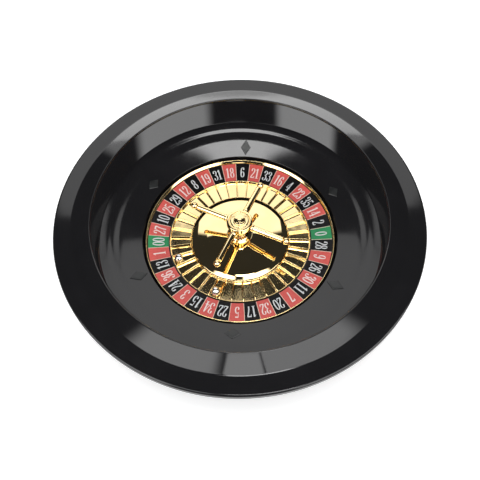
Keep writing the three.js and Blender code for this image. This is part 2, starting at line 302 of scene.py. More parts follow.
def bumped(tree, shader, layers):
    """Adds bump layers of (height socket, strength, distance in metres) to a shader."""
    normal = None
    for height, strength, distance in layers:
        node = tree.nodes.new("ShaderNodeBump")
        node.inputs["Strength"].default_value = strength
        node.inputs["Distance"].default_value = distance
        tree.links.new(height, node.inputs["Height"])
        if normal:
            tree.links.new(normal, node.inputs["Normal"])
        normal = node.outputs["Normal"]
    tree.links.new(normal, shader.inputs["Normal"])


def two_tone(tree, shader, value, first, second):
    """The base colour drifts between two colours as a noise value rises."""
    ramp = tree.nodes.new("ShaderNodeValToRGB")
    ramp.color_ramp.elements[0].position = 0.35
    ramp.color_ramp.elements[0].color = (*first, 1)
    ramp.color_ramp.elements[1].position = 0.65
    ramp.color_ramp.elements[1].color = (*second, 1)
    tree.links.new(value, ramp.inputs["Fac"])
    tree.links.new(ramp.outputs["Color"], shader.inputs["Base Color"])


def gloss_plastic():
    """Injection-moulded black plastic: polished, very slightly wavy, with faint handling haze."""
    material, tree, shader = nodes_of("gloss_black_plastic")
    shader.inputs["IOR"].default_value = 1.5
    two_tone(tree, shader, noise_of(tree, 30), (0.0120, 0.0118, 0.0130), (0.0135, 0.0132, 0.0146))
    haze = ranged(tree, noise_of(tree, 55, 6, 0.6), 0.055, 0.085)
    tree.links.new(haze, shader.inputs["Roughness"])
    bumped(tree, shader, [(noise_of(tree, 9, 1), 0.25, 0.0010), (noise_of(tree, 700, 2), 0.05, 0.00002)])
    return material


def textured_plastic(name, tone, grain, polish=0.0):
    material, tree, shader = nodes_of(name)
    shader.inputs["Specular IOR Level"].default_value = 0.4
    lighter = tuple(1.25 * c for c in tone)
    two_tone(tree, shader, noise_of(tree, 60), tone, lighter)
    rough = ranged(tree, noise_of(tree, 120, 4), 0.42 - polish, 0.6 - polish)
    tree.links.new(rough, shader.inputs["Roughness"])
    bumped(tree, shader, [(noise_of(tree, grain, 3, 0.6), 0.5, 0.0001)])
    return material


def rubber():
    material, tree, shader = nodes_of("black_rubber")
    shader.inputs["Specular IOR Level"].default_value = 0.25
    two_tone(tree, shader, noise_of(tree, 150), (0.018, 0.018, 0.018), (0.030, 0.030, 0.030))
    rough = ranged(tree, noise_of(tree, 300, 4), 0.7, 0.9)
    tree.links.new(rough, shader.inputs["Roughness"])
    bumped(tree, shader, [(noise_of(tree, 1500, 3, 0.6), 0.6, 0.0001)])
    return material


def metal(name, tone, second, rough_low, rough_high, wave=0.0, wave_scale=20.0):
    """Plated or polished metal whose colour and polish drift slightly over the surface."""
    material, tree, shader = nodes_of(name)
    shader.inputs["Metallic"].default_value = 1
    two_tone(tree, shader, noise_of(tree, 40), tone, second)
    rough = ranged(tree, noise_of(tree, 90, 5, 0.6), rough_low, rough_high)
    tree.links.new(rough, shader.inputs["Roughness"])
    layers = [(noise_of(tree, 900, 3), 0.08, 0.00002)]
    if wave:
        layers.append((noise_of(tree, wave_scale, 1), wave, 0.001))
    bumped(tree, shader, layers)
    return material


def print_ink(name, tone, second, coat=0.6):
    material, tree, shader = nodes_of(name)
    shader.inputs["Coat Weight"].default_value = coat
    shader.inputs["Coat Roughness"].default_value = 0.08
    shader.inputs["Specular IOR Level"].default_value = 0.5 * coat
    two_tone(tree, shader, noise_of(tree, 400, 4), tone, second)
    rough = ranged(tree, noise_of(tree, 200, 4), 0.28, 0.4)
    tree.links.new(rough, shader.inputs["Roughness"])
    bumped(tree, shader, [(noise_of(tree, 1500, 3), 0.08, 0.00003)])
    return material


GLOSS_BLACK = gloss_plastic()
COVER_BLACK = textured_plastic("fine_textured_black_plastic", (0.012, 0.012, 0.013), 2200)
ROTOR_BLACK = textured_plastic("rotor_black_plastic", (0.010, 0.010, 0.011), 900)
RUBBER = rubber()
STIPPLE_BLACK = textured_plastic("stippled_black_plastic", (0.018, 0.019, 0.019), 1400, 0.33)
GOLD = metal("gold_plating", (0.95, 0.73, 0.37), (0.97, 0.77, 0.42), 0.025, 0.05, 0.12, 18)
GOLD_POCKETS = metal(
    "gold_plating_in_pockets", (0.86, 0.66, 0.34), (0.92, 0.72, 0.38), 0.06, 0.10, 0.10, 60,
)
STEEL = metal("zinc_plated_steel", (0.55, 0.56, 0.58), (0.66, 0.66, 0.66), 0.18, 0.32)
CHROME = metal("polished_steel", (0.80, 0.79, 0.77), (0.86, 0.85, 0.84), 0.02, 0.05)
INK_BLACK = print_ink("printed_black", (0.0028, 0.0026, 0.0030), (0.0040, 0.0036, 0.0042), 0.15)
INK_RED = print_ink("printed_red", (0.60, 0.085, 0.075), (0.66, 0.105, 0.090), 0.3)
INK_GREEN = print_ink("printed_green", (0.012, 0.22, 0.075), (0.018, 0.26, 0.090), 0.3)
INK_WHITE = print_ink("printed_white", (0.60, 0.62, 0.64), (0.68, 0.70, 0.72), 0.3)
INK_PINK = print_ink("printed_white_on_red", (0.78, 0.66, 0.64), (0.84, 0.72, 0.70), 0.3)
INK_LINE = print_ink("printed_pale_gold", (0.72, 0.58, 0.46), (0.80, 0.66, 0.54))


# ---------------------------------------------------------------- bowl

def meet(p, slope_p, q, slope_q):
    """Where the line through p at one slope meets the line through q at another."""
    a = math.tan(slope_p)
    b = math.tan(slope_q)
    r = (q[1] - p[1] + a * p[0] - b * q[0]) / (a - b)
    return r, p[1] + a * (r - p[0])


def apron_z(r):
    return APRON_Z + (r - WELL_R) * math.tan(APRON_SLOPE)


def track_rings():
    """Rings of the ball track, 1 mm apart, from the end of the plain apron to the foot of the wall."""
    r = TRACK_SLOPES[0][0]
    z = apron_z(r)
    rings = [(r, z)]
    for (near, slope), (far, next_slope) in zip(TRACK_SLOPES, TRACK_SLOPES[1:]):
        count = round(far - near)
        step = (far - near) / count
        for k in range(count):
            here = slope + (next_slope - slope) * (k + 0.5) / count
            r += step
            z += step * math.tan(math.radians(here))
            rings.append((r, z))
    return rings


def bowl_corners():
    rings = track_rings()
    foot = (TRACK_END_R, rings[-1][1] + 0.1)
    crest = (CREST_R, CREST_Z + 0.46)
    crease = meet(crest, BAND_SLOPE, (BOWL_R, BRIM_Z), 0)
    plate_gap_z = PLATE_TOP_Z + 0.3
    return [
        (4.3, 16, 0.2), (13, 16, 0.6), (13.6, WELL_FLOOR_Z, 1),
        (WELL_R - 0.4, WELL_FLOOR_Z, 1), (WELL_R, APRON_Z, 0.6),
        *rings, foot, (LEDGE_R, LEDGE_Z), (LEDGE_R + LEDGE_WIDE, LEDGE_Z + 0.2),
        (*crest, 1.2), (*crease, 9), (BOWL_R, BRIM_Z, 2.2),
        (BOWL_R, SKIRT_Z, 0.7), (BOWL_R - 2.3, SKIRT_Z, 0.7), (BOWL_R - 2.3, BRIM_Z - WALL, 1),
        (crease[0] + 0.6, BRIM_Z - WALL, 2), (LEDGE_R + WALL, CREST_Z - WALL - 0.6, 1),
        (foot[0] + WALL + 0.5, foot[1] + 1, 2), (BASE_R, PLATE_Z, 0.8),
        (BASE_R - BASE_SKIRT, PLATE_Z, 0.5), (rings[-1][0] - 2.7, rings[-1][1] - 3, 0.6),
        (rings[0][0], rings[0][1] - 2.4), (WELL_R + 2.5, APRON_Z - 2.4, 1),
        (WELL_R + 2.5, plate_gap_z, 0.4), (9.5, plate_gap_z, 0.4), (9.5, 11, 0.4), (4.3, 11, 0.3),
    ]


def rhombus(long, short, high, low, taper):
    """A flat-topped lozenge with its long axis on Y. Its rim has two steps that round it."""
    levels = [(low, 1.0), (high * 0.55, 0.5 + taper / 2), (high * 0.85, 0.2 + 0.8 * taper), (high, taper)]
    corners = [(0, 1), (1, 0), (0, -1), (-1, 0)]
    verts = []
    for z, scale in levels:
        verts += [(x * short * scale, y * long * scale, z) for x, y in corners]
    faces = [[0, 1, 2, 3]]
    for row in range(len(levels) - 1):
        a = 4 * row
        faces += [[a + k, a + (k + 1) % 4, a + 4 + (k + 1) % 4, a + 4 + k] for k in range(4)]
    top = 4 * (len(levels) - 1)
    faces.append([top + 3, top + 2, top + 1, top])
    return verts, faces


def deflectors():
    """Three lozenges point at the rotor and three lie across, each with a smaller one on its top."""
    made = []
    for i in range(DEFLECTORS):
        long, short = DEFLECTOR_SIZES[i % 2]
        low = rhombus(long, short, DEFLECTOR_HIGH * 0.75, -1, 0.86)
        top = rhombus(long * 0.7, short * 0.7, DEFLECTOR_HIGH, 0.2, 0.9)
        tilt = Matrix.Translation((0, 0, apron_z(DEFLECTOR_R))) @ Matrix.Rotation(APRON_SLOPE, 4, "X")
        place = compass(DEFLECTOR_START + 360 / DEFLECTORS * i, DEFLECTOR_R) @ tilt
        made += [moved(low, place), moved(top, place)]
    return joined(*made)


def make_bowl():
    bowl = turned("bowl_shell", bowl_corners(), "bowl", GLOSS_BLACK, 256)
    combine(bowl, deflectors(), "UNION")
    bowl.data.materials.append(STIPPLE_BLACK)
    for face in bowl.data.polygons:
        x, y, z = face.center / MM
        r = math.hypot(x, y)
        if WELL_R < r < TRACK_SLOPES[0][0] + 4 and z > apron_z(r) + 0.35 * DEFLECTOR_HIGH:
            face.material_index = 1
    soften_wall(bowl.data)


def soften_wall(mesh):
    """The ball track, its wall and the ledge at the crest are moulded as one soft curve."""
    for edge in mesh.edges:
        ends = [mesh.vertices[k].co / MM for k in edge.vertices]
        if all(TRACK_END_R - 1 < p.xy.length < CREST_R and p.z > APRON_Z for p in ends):
            edge.use_edge_sharp = False
    mesh.update()


def make_base_screw(node, place):
    """A turned screw with a cross recess in its head, which faces down."""
    low = PLATE_Z - 2.2
    head = PLATE_Z - 0.3
    corners = [
        (0, low), (2.6, low, 0.5), (3.4, PLATE_Z - 1.4, 0.3), (3.4, head, 0.1),
        (1.5, head, 0.1), (1.5, 15), (0, 16.5),
    ]
    verts, faces = moved(lathe(rounded(corners, 3), 40), place)
    made = piece(f"{node}.visual", verts, faces, "bowl", [STEEL], [node], sharp=32)
    long, wide, deep = 1.7, 0.35, 1.1
    square = ((-1, -1), (1, -1), (1, 1), (-1, 1))
    sides = [[0, 3, 2, 1], [4, 5, 6, 7], [0, 1, 5, 4], [1, 2, 6, 5], [2, 3, 7, 6], [3, 0, 4, 7]]
    for along, over in ((long, wide), (wide, long)):
        box = [(x * along, y * over, z) for z in (low - 1, low + deep) for x, y in square]
        combine(made, moved((box, sides), place), "DIFFERENCE", 32)


def make_base():
    plate = [(0, PLATE_Z), (PLATE_R, PLATE_Z, 0.7), (PLATE_R, PLATE_TOP_Z, 0.3), (0, PLATE_TOP_Z)]
    turned("base_plate", plate, "bowl", COVER_BLACK, 192)
    for i in range(4):
        make_base_screw(f"base_screw_{i + 1}", compass(90 * i, SCREW_PITCH_R))
    foot = [(0, 0), (8, 0, 0.6), (9, 1.2, 0.8), (9, PLATE_Z - 0.3, 0.3), (0, PLATE_Z - 0.3)]
    for i in range(4):
        verts, faces = moved(lathe(rounded(foot), 48), compass(45 + 90 * i, FOOT_PITCH_R))
        node = f"foot_{i + 1}"
        piece(f"{node}.visual", verts, faces, "bowl", [RUBBER], [node])


# ---------------------------------------------------------------- rotor

def rim_arc(radius, start, end, steps):
    """Points (x, y) on a circle about the axis, from one angle clockwise from +Y to another."""
    angles = [start + (end - start) * k / steps for k in range(steps + 1)]
    return [(radius * math.sin(angle), radius * math.cos(angle)) for angle in angles]


def pocket_loop(inset):
    """One pocket's plan: a wedge with rounded corners, between two frets."""
    half_step = math.radians(POCKET_STEP / 2)
    inner = POCKET_IN_R + POCKET_WALL_IN + inset
    outer = POCKET_OUT_R - POCKET_WALL_OUT - inset
    radius = POCKET_CORNER_R - inset
    normal = Vector((math.cos(half_step), -math.sin(half_step)))
    along = Vector((math.sin(half_step), math.cos(half_step)))

    def corner(rim, sign):
        distance = FRET_HALF + inset + radius
        reach = rim + sign * radius
        run = math.sqrt(reach ** 2 - distance ** 2)
        centre = along * run - normal * distance
        start = normal
        end = centre.normalized() * -sign
        steps = 6
        return [centre + start.slerp(end, k / steps) * radius for k in range(steps + 1)]

    inner_right = corner(inner, 1)
    outer_right = corner(outer, -1)
    inner_end = math.atan2(inner_right[-1].x, inner_right[-1].y)
    outer_end = math.atan2(outer_right[-1].x, outer_right[-1].y)
    inner_arc = rim_arc(inner, inner_end / 2, -inner_end / 2, 2)
    outer_arc = rim_arc(outer, outer_end / 2, -outer_end / 2, 2)
    right_side = [inner_right[0].lerp(outer_right[0], k / 4) for k in (1, 2, 3)]
    right = [tuple(p) for p in inner_right[::-1] + right_side + outer_right]
    left = [(-x, y) for x, y in right[::-1]]
    return right + outer_arc + left + inner_arc[::-1]


def ridge_z(x, y):
    """The ring's top: frets stand above the outer wall, with a short slope between."""
    slope_wide = 1.2
    share = min(max((POCKET_OUT_R - math.hypot(x, y) - POCKET_WALL_OUT) / slope_wide, 0), 1)
    smooth = share * share * (3 - 2 * share)
    return RING_WALL_Z + (FRET_TOP_Z - RING_WALL_Z) * smooth


def wedge_border(loop):
    """The pocket's own edge at the top of the ring: two sides between pockets and two rim arcs."""
    half_step = math.radians(POCKET_STEP / 2)
    points = []
    for x, y in loop:
        angle = math.atan2(x, y)
        r = math.hypot(x, y)
        side = r * (half_step - abs(angle))
        rim = min(r - POCKET_IN_R, POCKET_OUT_R - r)
        at_corner = abs(side - rim) < 0.24
        if at_corner or side < rim:
            angle = math.copysign(half_step, angle)
        if at_corner or rim < side:
            r = POCKET_IN_R if r < (POCKET_IN_R + POCKET_OUT_R) / 2 else POCKET_OUT_R
        x = r * math.sin(angle)
        y = r * math.cos(angle)
        points.append((x, y, ridge_z(x, y)))
    return points


def pocket_cell():
    """One pocket with rounded top edges and a filleted floor, out to its share of the frets."""
    edge = 0.25
    fillet = 0.5
    draft = 0.1
    rows = []
    for k in range(4):
        angle = math.pi / 2 * k / 3
        loop = pocket_loop(edge * math.sin(angle) - edge)
        drop = edge * (1 - math.cos(angle))
        rows.append([(x, y, ridge_z(x, y) - drop) for x, y in loop])
    for k in range(6):
        angle = math.pi / 2 * k / 5
        loop = pocket_loop(draft + fillet * (1 - math.cos(angle)))
        height = POCKET_FLOOR_Z + fillet * (1 - math.sin(angle))
        rows.append([(x, y, height) for x, y in loop])
    # One more ring at floor level keeps the floor's shading flat.
    rows.append([(x, y, POCKET_FLOOR_Z) for x, y in pocket_loop(draft + fillet + 0.1)])
    rows.insert(0, wedge_border([(x, y) for x, y, _ in rows[0]]))
    count = len(rows[0])
    verts = [p for row in rows for p in row]
    faces = []
    for row in range(len(rows) - 1):
        a = row * count
        b = a + count
        faces += [[a + k, a + (k + 1) % count, b + (k + 1) % count, b + k] for k in range(count)]
    last = (len(rows) - 1) * count
    verts.append((0, (POCKET_IN_R + POCKET_OUT_R) / 2, POCKET_FLOOR_Z))
    faces += [[last + k, last + (k + 1) % count, len(verts) - 1] for k in range(count)]
    return verts, faces


def make_pocket_ring():
    """Thirty-eight rounded pockets in one plated ring. Frets stand a little above the rim walls."""
    cell = pocket_cell()
    cells = [moved(cell, compass(POCKET_START + POCKET_STEP * k)) for k in range(POCKETS)]
    verts, faces = joined(*cells)
    materials = [GOLD_POCKETS]
    ring = piece("pocket_ring.visual", verts, faces, "rotor", materials, ["pocket_ring"])
    close_below(ring.data, lambda p: POCKET_LOW_Z * MM, 45)


def close_below(mesh, lowered, sharp):
    """Gives an open sheet its side walls and an underside, at the height lowered(point) in metres."""
    shape = bmesh.new()
    shape.from_mesh(mesh)
    if sum(face.normal.z * face.calc_area() for face in shape.faces) < 0:
        bmesh.ops.reverse_faces(shape, faces=shape.faces)
    top = set(shape.faces)
    border = [edge for edge in shape.edges if len(edge.link_faces) == 1]
    made = bmesh.ops.extrude_edge_only(shape, edges=border)["geom"]
    low = {v for v in made if isinstance(v, bmesh.types.BMVert)}
    for v in low:
        v.co.z = lowered(v.co)
    rims = [e for e in made if isinstance(e, bmesh.types.BMEdge) and low.issuperset(e.verts)]
    bmesh.ops.bridge_loops(shape, edges=rims)
    for face in shape.faces:
        if face not in top:
            face.material_index = 0
    bmesh.ops.recalc_face_normals(shape, faces=shape.faces)
    shape.to_mesh(mesh)
    shape.free()
    finish_shading(mesh, sharp)


def make_cone():
    corners = [
        (ROD_HOLE_R, 28.9, 0.2), (ROD_HOLE_R, CONE_TOP_Z + 0.2, 0.1), (CONE_TOP_R, CONE_TOP_Z, 4),
        (37, 27, 60), (51, 24.2, 20), (CONE_R, CONE_EDGE_Z - 0.4, 1.4), (CONE_R, CONE_SKIRT_Z, 0.3),
        (CONE_R - 1.1, CONE_SKIRT_Z, 0.3), (CONE_R - 1.1, CONE_EDGE_Z - 2.2, 0.8), (50.4, 22.9, 6),
        (37, 25.7, 40), (17, 28.6, 2), (15.8, 28.9, 0.3),
    ]
    turned_gold("rotor_cone", corners, 192, steps=10)


def make_rotor_disc():
    under = NUMBER_THICK + 0.4
    ledge = POCKET_OUT_R + 0.4
    low = POCKET_LOW_Z - 0.3
    corners = [
        (11.3, 18.2, 0.2), (11.3, 25.9), (9.6, 25.9), (9.6, 28, 0.3), (15.4, 28, 0.3), (15.4, 20.4, 0.5),
        (45.4, 20.4, 1), (52, low, 1), (ledge, low, 0.3), (ledge, NUMBER_IN[1] - under, 0.3),
        (DISC_R, NUMBER_OUT[1] - under, 0.3), (DISC_R, 11.3, 0.5), (DISC_R - 2.4, 11.3, 0.5),
        (DISC_R - 2.4, 18.6, 0.8), (84.8, 16, 0.8), (82, 14.2, 0.8), (51, 14.2, 0.8), (44.6, 18.2, 0.8),
    ]
    turned("rotor_disc", corners, "rotor", ROTOR_BLACK, 192)


def make_trim():
    """The trim ring has a shallow step inside, and its rim is moulded as one soft curve above it."""
    inner = DISC_R + 0.3
    step = TRIM_TOP_Z - 3.2
    corners = [
        (inner, TRIM_LOW_Z), (TRIM_R, TRIM_LOW_Z), (TRIM_R, TRIM_TOP_Z - 0.4), (TRIM_R - 0.3, TRIM_TOP_Z),
        (inner + 0.15, TRIM_TOP_Z), (inner + 0.15, step), (inner, step),
    ]
    turned_gold("trim_ring", corners, 256, sharp=180)


# ---------------------------------------------------------------- numbers

# The order of the 38 pockets, clockwise from the far side.
NUMBERS = (
    "6 21 33 16 4 23 35 14 2 0 28 9 26 30 11 7 20 32 17 "
    "5 22 34 15 3 24 36 13 1 00 27 10 25 29 12 8 19 31 18"
).split()
RED_NUMBERS = "21 16 23 14 9 30 7 32 5 34 3 36 1 27 25 12 19 18".split()
GREEN_NUMBERS = ("0", "00")


def smooth_line(points):
    """A smooth line through points (Catmull-Rom)."""
    steps = 6
    line = []
    for i in range(len(points) - 1):
        p0 = Vector(points[max(i - 1, 0)])
        p1 = Vector(points[i])
        p2 = Vector(points[i + 1])
        p3 = Vector(points[min(i + 2, len(points) - 1)])
        for k in range(steps):
            t = k / steps
            line.append(0.5 * (
                2 * p1 + (p2 - p0) * t + (2 * p0 - 5 * p1 + 4 * p2 - p3) * t ** 2
                + (3 * p1 - p0 - 3 * p2 + p3) * t ** 3
            ))
    line.append(Vector(points[-1]))
    return line


def pen(line, thin=0.032, thick=0.105):
    """Quads along a line, drawn by a pen that is thick on upright strokes and thin on level ones."""
    edges = []
    for i, p in enumerate(line):
        ahead = (line[min(i + 1, len(line) - 1)] - line[max(i - 1, 0)]).normalized()
        width = thin + (thick - thin) * abs(ahead.y) ** 1.6
        side = Vector((-ahead.y, ahead.x)) * width / 2
        edges.append((p - side, p + side))
    return [[a[0], b[0], b[1], a[1]] for a, b in zip(edges, edges[1:])]


def curve(*points):
    return pen(smooth_line(points))


def stroke(start, end, thin, thick):
    return pen([Vector(start), Vector(end)], thin, thick)


def circle_points(cx, cy, rx, ry, count, sides):
    """The first points, so many of them, of an ellipse with a number of sides."""
    angles = [TURN * k / sides for k in range(count)]
    return [Vector((cx + rx * math.cos(a), cy + ry * math.sin(a))) for a in angles]


def dot(x, y):
    radius = 0.062
    return [circle_points(x, y, radius, radius, 12, 12)]


def bar(x0, y0, x1, y1):
    return [[Vector((x0, y0)), Vector((x1, y0)), Vector((x1, y1)), Vector((x0, y1))]]


def oval(cx, cy, rx, ry):
    return pen(circle_points(cx, cy, rx, ry, 33, 32))


def glyph(digit):
    """The shapes that make up one digit in a narrow serif style, 1 high and about 0.42 wide."""
    if digit == "0":
        return oval(0.21, 0.5, 0.145, 0.482)
    if digit == "1":
        flag = stroke((0.21, 0.97), (0.07, 0.83), 0.05, 0.05)
        return bar(0.15, 0, 0.275, 1) + flag + bar(0.07, 0, 0.36, 0.04)
    if digit == "2":
        top = curve(
            (0.085, 0.74), (0.12, 0.93), (0.21, 0.982), (0.32, 0.9), (0.34, 0.72), (0.27, 0.5),
            (0.14, 0.25), (0.075, 0.05),
        )
        serif = stroke((0.345, 0.03), (0.37, 0.22), 0.04, 0.05)
        return top + dot(0.095, 0.76) + bar(0.05, 0, 0.36, 0.085) + serif
    if digit == "3":
        upper = curve(
            (0.09, 0.79), (0.12, 0.94), (0.21, 0.982), (0.31, 0.9), (0.325, 0.74), (0.27, 0.58),
            (0.16, 0.525),
        )
        lower = curve(
            (0.16, 0.525), (0.28, 0.48), (0.345, 0.3), (0.31, 0.1), (0.2, 0.018), (0.1, 0.07),
            (0.075, 0.2),
        )
        return upper + lower + dot(0.1, 0.79) + dot(0.09, 0.205)
    if digit == "4":
        slant = stroke((0.25, 0.98), (0.045, 0.3), 0.04, 0.05)
        return slant + bar(0.03, 0.26, 0.4, 0.315) + bar(0.215, 0, 0.33, 1) + bar(0.13, 0, 0.41, 0.035)
    if digit == "5":
        belly = curve(
            (0.1, 0.5), (0.17, 0.6), (0.27, 0.57), (0.345, 0.34), (0.31, 0.11), (0.2, 0.018),
            (0.1, 0.07), (0.075, 0.19),
        )
        return belly + bar(0.085, 0.48, 0.125, 0.97) + bar(0.085, 0.88, 0.345, 0.985) + dot(0.09, 0.195)
    if digit == "6":
        back = curve(
            (0.325, 0.83), (0.29, 0.95), (0.22, 0.982), (0.11, 0.85), (0.072, 0.5), (0.1, 0.15),
            (0.21, 0.018),
        )
        return back + oval(0.215, 0.29, 0.135, 0.272) + dot(0.315, 0.81)
    if digit == "7":
        stem = curve((0.365, 0.9), (0.27, 0.6), (0.2, 0.3), (0.175, 0.0))
        serif = stroke((0.075, 0.97), (0.055, 0.74), 0.04, 0.045)
        return stem + bar(0.06, 0.86, 0.385, 0.985) + serif
    if digit == "8":
        return oval(0.21, 0.745, 0.12, 0.238) + oval(0.21, 0.268, 0.14, 0.25)
    # A nine is a six turned half round.
    return [[Vector((0.42, 1)) - p for p in shape] for shape in glyph("6")]


def number_shapes(text):
    """The shapes of a whole number, centred on the origin, in millimetres."""
    spacing = 0.40
    left = -(spacing * (len(text) - 1) + 0.42) / 2
    wide = NUMBER_HIGH * 0.96
    made = []
    for i, digit in enumerate(text):
        for shape in glyph(digit):
            made.append([((p.x + left + i * spacing) * wide, (p.y - 0.5) * NUMBER_HIGH) for p in shape])
    return made


def number_cell(text):
    """One printed segment of the number ring, cut along the edges of its digits."""
    half = math.radians(POCKET_STEP / 2)
    inner = NUMBER_IN[0]
    outer = NUMBER_OUT[0]
    middle = (inner + outer) / 2 - 0.3

    def band(inner_start, inner_end, outer_start, outer_end, steps):
        there = rim_arc(inner, inner_start, inner_end, steps)
        return there + rim_arc(outer, outer_end, outer_start, steps)

    line_half = 0.28
    line_in = line_half / inner
    line_out = line_half / outer
    polygons = [
        (band(-half, -half + line_in, -half, -half + line_out, 1), "line"),
        (band(half - line_in, half, half - line_out, half, 1), "line"),
        (band(-half + line_in, half - line_in, -half + line_out, half - line_out, 8), "ground"),
    ]
    for shape in number_shapes(text):
        polygons.append(([(x, y + middle) for x, y in shape], "digit"))
    points = []
    loops = []
    for outline, _ in polygons:
        area = sum(a[0] * b[1] - b[0] * a[1] for a, b in zip(outline, outline[1:] + outline[:1]))
        ordered = outline if area > 0 else outline[::-1]
        loops.append(list(range(len(points), len(points) + len(ordered))))
        points += [Vector(p) for p in ordered]
    verts, _, faces, _, _, sources = delaunay_2d_cdt(points, [], loops, 1, 1e-5)
    kinds = []
    for source in sources:
        names = {polygons[k][1] for k in source} | {"ground"}
        kinds.append(next(kind for kind in ("digit", "line", "ground") if kind in names))
    return verts, faces, kinds


def make_number_ring():
    rise = (NUMBER_OUT[1] - NUMBER_IN[1]) / (NUMBER_OUT[0] - NUMBER_IN[0])
    inks = [INK_BLACK, INK_RED, INK_GREEN, INK_WHITE, INK_PINK, INK_LINE]
    verts = []
    faces = []
    indices = []
    for k, text in enumerate(NUMBERS):
        cell_verts, cell_faces, kinds = number_cell(text)
        turn = compass(POCKET_START + POCKET_STEP * k)
        start = len(verts)
        for p in cell_verts:
            z = NUMBER_IN[1] + rise * (p.length - NUMBER_IN[0])
            verts.append(turn @ Vector((p.x, p.y, z)))
        faces += [[start + i for i in face] for face in cell_faces]
        ink_of = {"line": INK_LINE, "ground": INK_BLACK, "digit": INK_WHITE}
        if text in GREEN_NUMBERS:
            ink_of["ground"] = INK_GREEN
        if text in RED_NUMBERS:
            ink_of["ground"] = INK_RED
            ink_of["digit"] = INK_PINK
        index_of = {kind: inks.index(ink) for kind, ink in ink_of.items()}
        indices += [index_of[kind] for kind in kinds]
    ring = piece("number_ring.visual", verts, faces, "rotor", inks, ["number_ring"], indices)
    close_below(ring.data, lambda p: p.z - NUMBER_THICK * MM, 30)


# ---------------------------------------------------------------- turret

def make_turret():
    low = CONE_TOP_Z + 0.5
    base = [
        (ROD_HOLE_R, low), (14, low, 0.3), (14, low + 0.9, 0.4), (10.6, low + 2.3, 3), (8.8, low + 6.3, 0.4),
        (ROD_HOLE_R, low + 6.3),
    ]
    turned_gold("turret_base", base, steps=8)
    foot = low + 6.6
    column = [
        (ROD_HOLE_R, foot), (8.3, foot, 0.4), (8.3, foot + 1.2, 0.5), (6.8, foot + 1.8, 0.6),
        (6.1, foot + 4.8, 8), (6.8, foot + 7.6, 2), (9.2, foot + 9.2, 1), (9.2, HUB_LOW_Z - 0.3, 0.3),
        (ROD_HOLE_R, HUB_LOW_Z - 0.3),
    ]
    turned_gold("turret_column", column, steps=8)
    top = HUB_TOP_Z
    hub = [
        (ROD_HOLE_R, HUB_LOW_Z), (10, HUB_LOW_Z, 0.6), (14, HUB_LOW_Z + 2.3, 1.6), (14.6, HUB_LOW_Z + 4.8, 2),
        (14.5, top - 0.2, 1.7), (12.0, top - 0.2, 0.3), (11.3, top - 1.1, 0.3), (10.3, top - 1.1, 0.3),
        (9.6, top, 0.5), (ROD_HOLE_R, top),
    ]
    turned_gold("turret_hub", hub, 128, steps=6)
    under = top + 0.3
    cap = [
        (0, top + 2.4), (ROD_HOLE_R, top + 2.4), (ROD_HOLE_R, under), (7.4, under, 0.2),
        (7.4, under + 0.8, 0.35), (6.3, under + 0.8, 0.3), (5.5, CAP_TOP_Z - 0.7, 0.6),
        (4, CAP_TOP_Z - 0.2, 2), (0, CAP_TOP_Z),
    ]
    turned_gold("turret_cap", cap, steps=6)


def arm_ball_corners():
    """The outline of a ball with a blind hole for the tip of its arm."""
    steps = 28
    start = math.asin(ARM_BALL_HOLE_R / ARM_BALL_R)
    corners = [(0, ARM_REACH - 0.5), (ARM_BALL_HOLE_R, ARM_REACH - 0.5)]
    for k in range(steps + 1):
        angle = start + (math.pi - start) * k / steps
        corners.append((max(0, ARM_BALL_R * math.sin(angle)), ARM_REACH - ARM_BALL_R * math.cos(angle)))
    return corners


def make_arms():
    neck = ARM_REACH - ARM_BALL_R
    arm = [
        (0, 9.9), (1.5, 9.9), (1.5, 15), (3.9, 15, 0.4), (4, 16.6, 0.6), (3.5, 17.8, 0.6),
        (3.1, neck - 1.4, 0.3), (3.1, neck - 0.4, 0.3), (1.2, neck - 0.4), (1.2, ARM_REACH - 0.8),
        (0, ARM_REACH - 0.8),
    ]
    for i in range(ARMS):
        lay = compass(ARM_START + 360 / ARMS * i, 0, ARM_Z) @ Matrix.Rotation(-math.pi / 2, 4, "X")
        for kind, corners in (("turret_arm", arm), ("arm_ball", arm_ball_corners())):
            verts, faces = moved(lathe(rounded(corners), 48), lay)
            node = f"{kind}_{i + 1}"
            piece(f"{node}.visual", verts, faces, "rotor", [GOLD], [node])


def make_balls():
    steps = 36
    for name in ("ball_1", "ball_2"):
        low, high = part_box(name)
        centre = (low + high) / 2 / MM
        outline = []
        for k in range(steps + 1):
            angle = math.pi * k / steps
            outline.append((max(0, BALL_R * math.sin(angle)), -BALL_R * math.cos(angle)))
        verts, faces = moved(lathe(outline, 72), Matrix.Translation(centre))
        piece(f"{name}.visual", verts, faces, name, [CHROME], [name])


def dress_hidden_parts():
    """The spindle, the bearing, the cone screws and the tie rod keep their CAD shapes, in steel."""
    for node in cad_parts.values():
        if not node.hide_render:
            node.data.materials.clear()
            node.data.materials.append(STEEL)


# ---------------------------------------------------------------- studio

CAMERA_TARGET = Vector((0, 0, 0.022))
CAMERA_DISTANCE = 0.706
CAMERA_ELEVATION = math.radians(59.0)
CAMERA_DIP = math.radians(-0.275)
CAMERA_ROLL = math.radians(-1.58)
CAMERA_LENS = 45.3
FLOOR_HALF = 12


def make_camera():
    camera = bpy.data.cameras.new("camera")
    camera.sensor_width = 36
    camera.lens = CAMERA_LENS
    holder = bpy.data.objects.new("camera", camera)
    bpy.context.scene.collection.objects.link(holder)
    back = Vector((0, -math.cos(CAMERA_ELEVATION), math.sin(CAMERA_ELEVATION)))
    look = (-back).to_track_quat("-Z", "Y").to_matrix().to_4x4()
    tilt = Matrix.Rotation(CAMERA_DIP, 4, "X") @ Matrix.Rotation(CAMERA_ROLL, 4, "Z")
    holder.matrix_world = Matrix.Translation(CAMERA_TARGET + back * CAMERA_DISTANCE) @ look @ tilt
    bpy.context.scene.camera = holder


